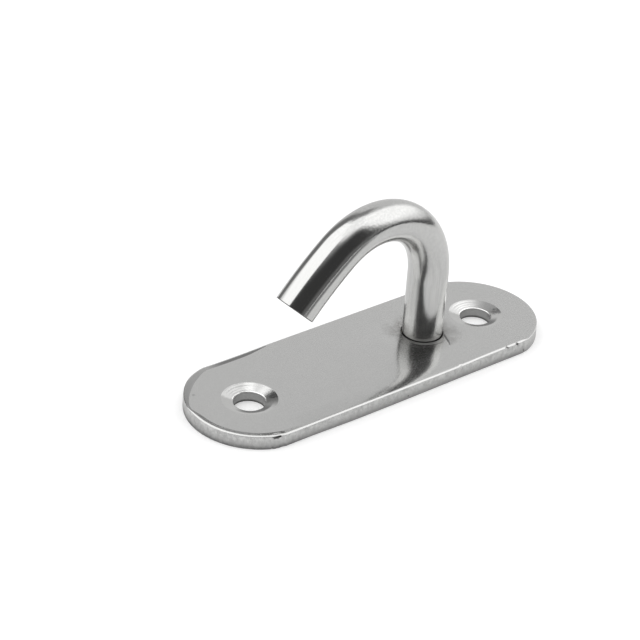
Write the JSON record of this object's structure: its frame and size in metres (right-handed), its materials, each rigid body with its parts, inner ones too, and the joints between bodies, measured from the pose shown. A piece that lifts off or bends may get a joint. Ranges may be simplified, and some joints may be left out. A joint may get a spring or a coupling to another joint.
{
  "type": "ceiling hook",
  "caption": "Stainless steel ceiling hook: a polished round bar bent over into an open hook, standing in an oblong, round-ended screw plate with countersunk holes.",
  "frame": {"origin": "centre of the plate's back face, which lies against the ceiling", "axes": "+Z out of the back face towards the room, +X along the plate towards the bar's foot, +Y across the plate; the hook opens towards -X"},
  "size_m": [0.06, 0.02, 0.027],
  "materials": {
    "plate_steel": "satin, fine grain on the show face, sheared sides",
    "bar_steel": "mirror polished along the bar",
    "weld_steel": "ground flush, with a light heat tint round it"
  },
  "bodies": {
    "root": {"base_plate": "plate_steel", "hook_rod": "bar_steel", "back_weld": "weld_steel"}
  },
  "joints": []
}
